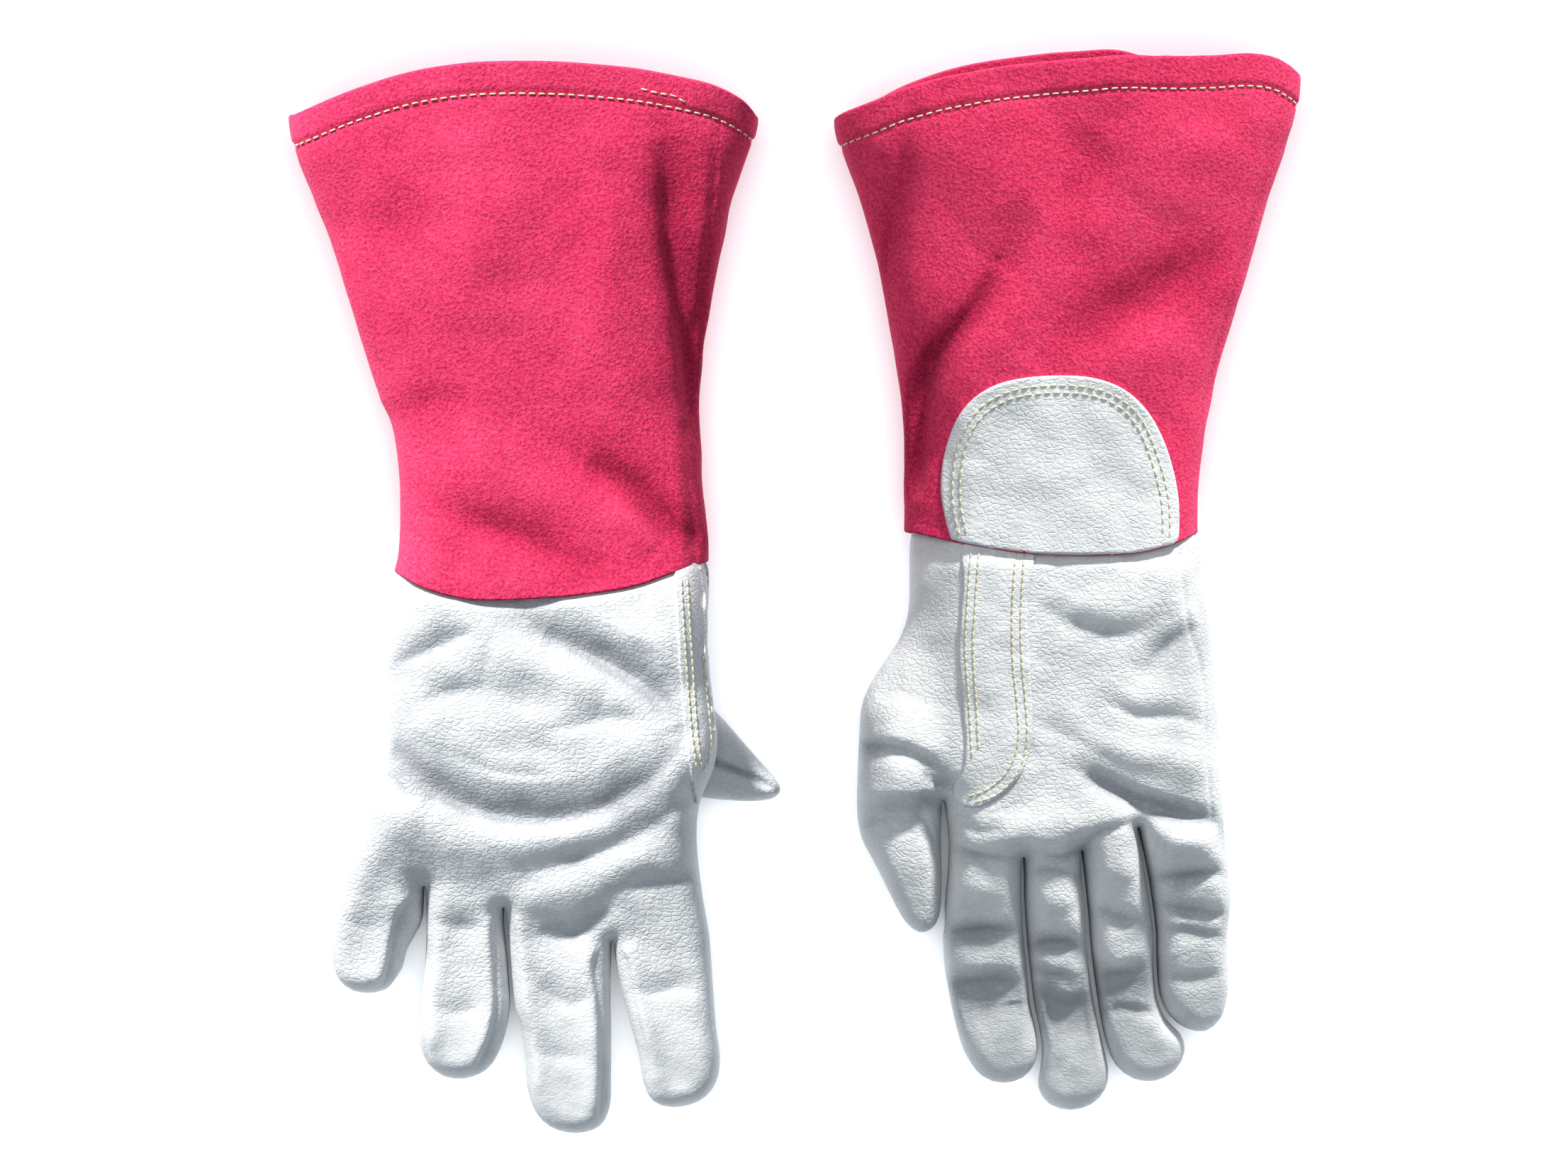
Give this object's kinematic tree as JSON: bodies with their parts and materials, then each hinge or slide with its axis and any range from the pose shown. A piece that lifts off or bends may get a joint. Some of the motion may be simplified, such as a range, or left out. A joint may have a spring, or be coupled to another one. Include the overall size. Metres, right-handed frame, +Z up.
{
  "type": "welding gloves",
  "caption": "Pair of leather welding gloves with wide split-suede gauntlet cuffs, one lying palm down and one palm up.",
  "frame": {"origin": "on the table, under the middle of the pair's bounding box", "axes": "+X from the palm-down glove towards the palm-up one, +Y from the fingertips towards the cuff mouths, +Z up off the table"},
  "size_m": [0.3316, 0.357, 0.0529],
  "materials": {
    "white_leather": "pebbled grain, satin",
    "white_leather_patch": "pebbled grain, satin, raw cut edges",
    "pink_suede": "napped split suede, matt",
    "yellow_thread": "twisted sewing thread"
  },
  "bodies": {
    "palm_down_hand": {"palm_down_hand_back": "white_leather", "palm_down_hand_palm": "white_leather", "palm_down_back_seam_strip": "white_leather_patch", "palm_down_palm_seam_strip": "white_leather_patch", "palm_down_strip_stitching": "yellow_thread"},
    "palm_down_cuff": {"palm_down_cuff_back_panel": "pink_suede", "palm_down_cuff_palm_panel": "pink_suede", "palm_down_cuff_hem": "pink_suede", "palm_down_hem_stitching": "yellow_thread", "palm_down_wrist_patch": "white_leather_patch", "palm_down_wrist_patch_stitching": "yellow_thread"},
    "palm_down_thumb": {"palm_down_thumb_base": "white_leather"},
    "palm_down_thumb_end": {"palm_down_thumb_tip": "white_leather"},
    "palm_down_index": {"palm_down_index_base_back": "white_leather", "palm_down_index_base_front": "white_leather", "palm_down_index_fourchettes": "white_leather"},
    "palm_down_index_end": {"palm_down_index_tip": "white_leather"},
    "palm_down_middle": {"palm_down_middle_base_back": "white_leather", "palm_down_middle_base_front": "white_leather", "palm_down_middle_fourchettes": "white_leather"},
    "palm_down_middle_end": {"palm_down_middle_tip": "white_leather"},
    "palm_down_ring": {"palm_down_ring_base_back": "white_leather", "palm_down_ring_base_front": "white_leather", "palm_down_ring_fourchettes": "white_leather"},
    "palm_down_ring_end": {"palm_down_ring_tip": "white_leather"},
    "palm_down_pinky": {"palm_down_pinky_base_back": "white_leather", "palm_down_pinky_base_front": "white_leather", "palm_down_pinky_fourchettes": "white_leather"},
    "palm_down_pinky_end": {"palm_down_pinky_tip": "white_leather"},
    "palm_up_hand": {"palm_up_hand_back": "white_leather", "palm_up_hand_palm": "white_leather", "palm_up_back_seam_strip": "white_leather_patch", "palm_up_palm_seam_strip": "white_leather_patch", "palm_up_strip_stitching": "yellow_thread"},
    "palm_up_cuff": {"palm_up_cuff_back_panel": "pink_suede", "palm_up_cuff_palm_panel": "pink_suede", "palm_up_cuff_hem": "pink_suede", "palm_up_hem_stitching": "yellow_thread", "palm_up_wrist_patch": "white_leather_patch", "palm_up_wrist_patch_stitching": "yellow_thread"},
    "palm_up_thumb": {"palm_up_thumb_base": "white_leather"},
    "palm_up_thumb_end": {"palm_up_thumb_tip": "white_leather"},
    "palm_up_index": {"palm_up_index_base_back": "white_leather", "palm_up_index_base_front": "white_leather", "palm_up_index_fourchettes": "white_leather"},
    "palm_up_index_end": {"palm_up_index_tip": "white_leather"},
    "palm_up_middle": {"palm_up_middle_base_back": "white_leather", "palm_up_middle_base_front": "white_leather", "palm_up_middle_fourchettes": "white_leather"},
    "palm_up_middle_end": {"palm_up_middle_tip": "white_leather"},
    "palm_up_ring": {"palm_up_ring_base_back": "white_leather", "palm_up_ring_base_front": "white_leather", "palm_up_ring_fourchettes": "white_leather"},
    "palm_up_ring_end": {"palm_up_ring_tip": "white_leather"},
    "palm_up_pinky": {"palm_up_pinky_base_back": "white_leather", "palm_up_pinky_base_front": "white_leather", "palm_up_pinky_fourchettes": "white_leather"},
    "palm_up_pinky_end": {"palm_up_pinky_tip": "white_leather"}
  },
  "joints": [
    {"name": "palm_down_wrist", "type": "hinge", "parent": "palm_down_hand", "child": "palm_down_cuff", "pos_m": [-0.08057, 0.0025, 0.002], "axis": [-1, 0, 0], "range_deg": [0, 60]},
    {"name": "palm_down_pinky_knuckle", "type": "hinge", "parent": "palm_down_hand", "child": "palm_down_pinky", "pos_m": [-0.13807, -0.1015, 0], "axis": [1, 0, 0], "range_deg": [0, 70]},
    {"name": "palm_down_pinky_bend", "type": "hinge", "parent": "palm_down_pinky", "child": "palm_down_pinky_end", "pos_m": [-0.13807, -0.1155, 0], "axis": [1, 0, 0], "range_deg": [0, 80]},
    {"name": "palm_down_ring_knuckle", "type": "hinge", "parent": "palm_down_hand", "child": "palm_down_ring", "pos_m": [-0.10997, -0.1085, 0], "axis": [1, 0, 0], "range_deg": [0, 70]},
    {"name": "palm_down_ring_bend", "type": "hinge", "parent": "palm_down_ring", "child": "palm_down_ring_end", "pos_m": [-0.10997, -0.1315, 0], "axis": [1, 0, 0], "range_deg": [0, 80]},
    {"name": "palm_down_middle_knuckle", "type": "hinge", "parent": "palm_down_hand", "child": "palm_down_middle", "pos_m": [-0.07817, -0.1155, 0], "axis": [1, 0, 0], "range_deg": [0, 70]},
    {"name": "palm_down_middle_bend", "type": "hinge", "parent": "palm_down_middle", "child": "palm_down_middle_end", "pos_m": [-0.07817, -0.1435, 0], "axis": [1, 0, 0], "range_deg": [0, 80]},
    {"name": "palm_down_index_knuckle", "type": "hinge", "parent": "palm_down_hand", "child": "palm_down_index", "pos_m": [-0.04557, -0.1155, 0], "axis": [1, 0, 0], "range_deg": [0, 70]},
    {"name": "palm_down_index_bend", "type": "hinge", "parent": "palm_down_index", "child": "palm_down_index_end", "pos_m": [-0.04557, -0.1395, 0], "axis": [1, 0, 0], "range_deg": [0, 80]},
    {"name": "palm_down_thumb_base_bend", "type": "hinge", "parent": "palm_down_hand", "child": "palm_down_thumb", "pos_m": [-0.03549, -0.04657, 0.001], "axis": [0.5736, 0.8192, 0], "range_deg": [0, 60]},
    {"name": "palm_down_thumb_tip_bend", "type": "hinge", "parent": "palm_down_thumb", "child": "palm_down_thumb_end", "pos_m": [-0.02209, -0.05534, 0.001], "axis": [0.5736, 0.8192, 0], "range_deg": [0, 60]},
    {"name": "palm_up_wrist", "type": "hinge", "parent": "palm_up_hand", "child": "palm_up_cuff", "pos_m": [0.08543, 0.0135, 0.036], "axis": [1, 0, 0], "range_deg": [0, 60]},
    {"name": "palm_up_index_knuckle", "type": "hinge", "parent": "palm_up_hand", "child": "palm_up_index", "pos_m": [0.06206, -0.08963, 0.0285], "axis": [-0.9954, -0.0958, 0], "range_deg": [0, 70]},
    {"name": "palm_up_index_bend", "type": "hinge", "parent": "palm_up_index", "child": "palm_up_index_end", "pos_m": [0.06532, -0.12348, 0.023], "axis": [-0.9954, -0.0958, 0], "range_deg": [0, 80]},
    {"name": "palm_up_middle_knuckle", "type": "hinge", "parent": "palm_up_hand", "child": "palm_up_middle", "pos_m": [0.08446, -0.08748, 0.0285], "axis": [-0.9954, -0.0958, 0], "range_deg": [0, 70]},
    {"name": "palm_up_middle_bend", "type": "hinge", "parent": "palm_up_middle", "child": "palm_up_middle_end", "pos_m": [0.0882, -0.1263, 0.0235], "axis": [-0.9954, -0.0958, 0], "range_deg": [0, 80]},
    {"name": "palm_up_ring_knuckle", "type": "hinge", "parent": "palm_up_hand", "child": "palm_up_ring", "pos_m": [0.10566, -0.08543, 0.0285], "axis": [-0.9954, -0.0958, 0], "range_deg": [0, 70]},
    {"name": "palm_up_ring_bend", "type": "hinge", "parent": "palm_up_ring", "child": "palm_up_ring_end", "pos_m": [0.10911, -0.12127, 0.023], "axis": [-0.9954, -0.0958, 0], "range_deg": [0, 80]},
    {"name": "palm_up_pinky_knuckle", "type": "hinge", "parent": "palm_up_hand", "child": "palm_up_pinky", "pos_m": [0.12846, -0.08324, 0.0285], "axis": [-0.9954, -0.0958, 0], "range_deg": [0, 70]},
    {"name": "palm_up_pinky_bend", "type": "hinge", "parent": "palm_up_pinky", "child": "palm_up_pinky_end", "pos_m": [0.13133, -0.1131, 0.021], "axis": [-0.9954, -0.0958, 0], "range_deg": [0, 80]},
    {"name": "palm_up_thumb_base_bend", "type": "hinge", "parent": "palm_up_hand", "child": "palm_up_thumb", "pos_m": [0.03583, -0.0635, 0.03], "axis": [-1, 0, 0], "range_deg": [0, 60]},
    {"name": "palm_up_thumb_tip_bend", "type": "hinge", "parent": "palm_up_thumb", "child": "palm_up_thumb_end", "pos_m": [0.03583, -0.0855, 0.026], "axis": [-1, 0, 0], "range_deg": [0, 60]},
    {"name": "gloves_apart", "type": "slide", "parent": "palm_down_hand", "child": "palm_up_hand", "axis": [1, 0, 0], "range_m": [0, 0.15]}
  ]
}
